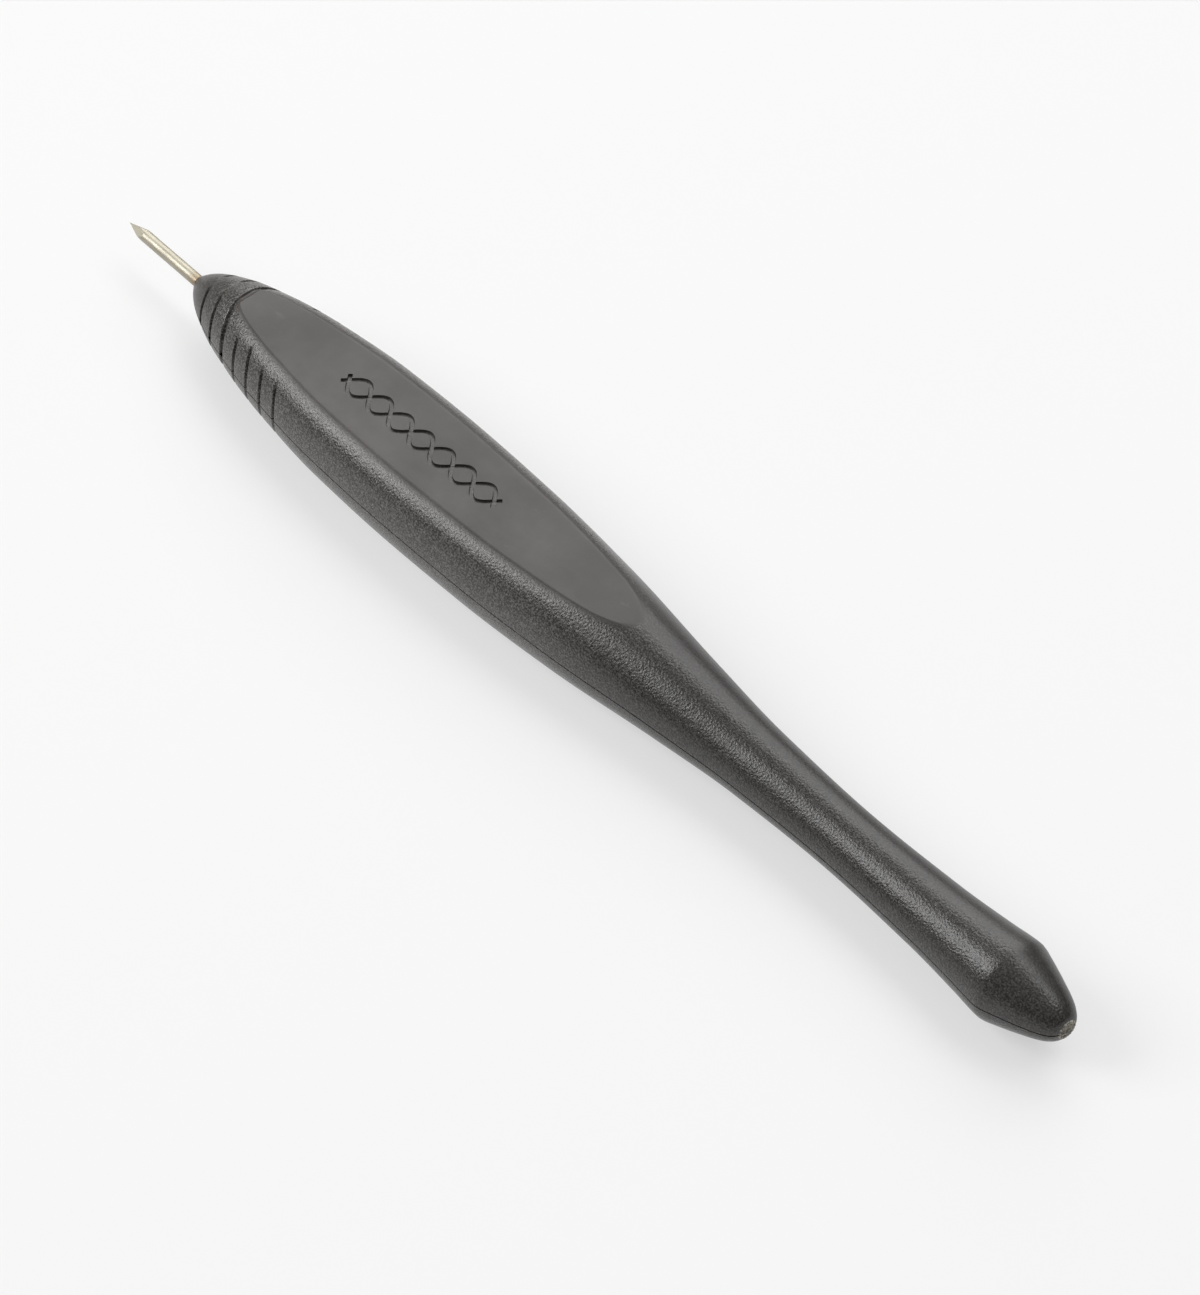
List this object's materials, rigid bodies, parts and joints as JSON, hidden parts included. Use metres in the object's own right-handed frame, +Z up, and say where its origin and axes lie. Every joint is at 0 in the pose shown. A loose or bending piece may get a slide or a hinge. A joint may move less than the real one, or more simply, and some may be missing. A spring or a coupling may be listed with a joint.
{
  "type": "scratch awl",
  "caption": "Scratch awl with a thin round steel point and a waisted, belly-shaped plastic handle split lengthwise, flats on its belly and grip grooves at the nose.",
  "frame": {"origin": "on the surface that the awl lies on, under the middle of its overall length and on its plane of symmetry", "axes": "+X along the handle's axis towards the point, +Z up out of the top flat, +Y to the left when looking along +X"},
  "size_m": [0.1646, 0.0174, 0.0122],
  "materials": {
    "handle_plastic": "charcoal, fine spark-grain texture on the flanks, smoother satin flats",
    "blade_steel": "ground and polished, faint straw tint"
  },
  "bodies": {
    "root": {"handle_upper_half": "handle_plastic", "handle_lower_half": "handle_plastic", "blade": "blade_steel"}
  },
  "joints": []
}
